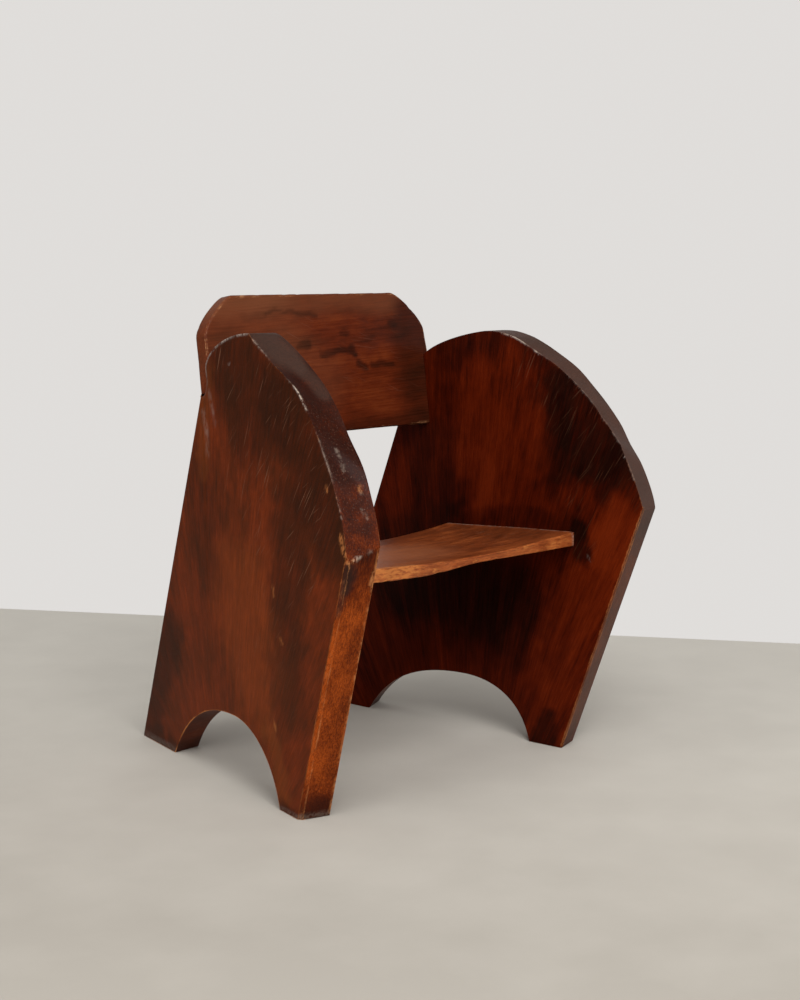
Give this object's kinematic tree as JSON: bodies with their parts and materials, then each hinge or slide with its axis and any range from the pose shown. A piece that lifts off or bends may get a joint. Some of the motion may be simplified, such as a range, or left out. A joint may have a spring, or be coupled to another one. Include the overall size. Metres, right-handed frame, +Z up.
{
  "type": "armchair",
  "caption": "Sculptural wooden armchair with thick slab sides, rounded arms and arched feet, a dished seat board and a reclined back board let into the sides.",
  "frame": {"origin": "on the floor under the middle of the chair's footprint", "axes": "+X to the right for someone who faces the front of the chair, +Y to the rear, +Z up; the chair faces -Y"},
  "size_m": [0.6734, 0.6954, 0.7696],
  "materials": {
    "side_wood": "old satin varnish over dark red-brown hardwood, worn along the arrises",
    "seat_wood": "worn satin varnish over brown hardwood, grain across the chair",
    "back_wood": "old gloss varnish over red-brown hardwood, grain across the chair",
    "dowel_wood": "bare turned hardwood"
  },
  "bodies": {
    "root": {"left_side": "side_wood", "right_side": "side_wood", "seat_board": "seat_wood", "back_board": "back_wood", "seat_dowel_left_front": "dowel_wood", "seat_dowel_left_middle": "dowel_wood", "seat_dowel_left_rear": "dowel_wood", "seat_dowel_right_front": "dowel_wood", "seat_dowel_right_middle": "dowel_wood", "seat_dowel_right_rear": "dowel_wood", "back_dowel_left": "dowel_wood", "back_dowel_right": "dowel_wood"}
  },
  "joints": []
}
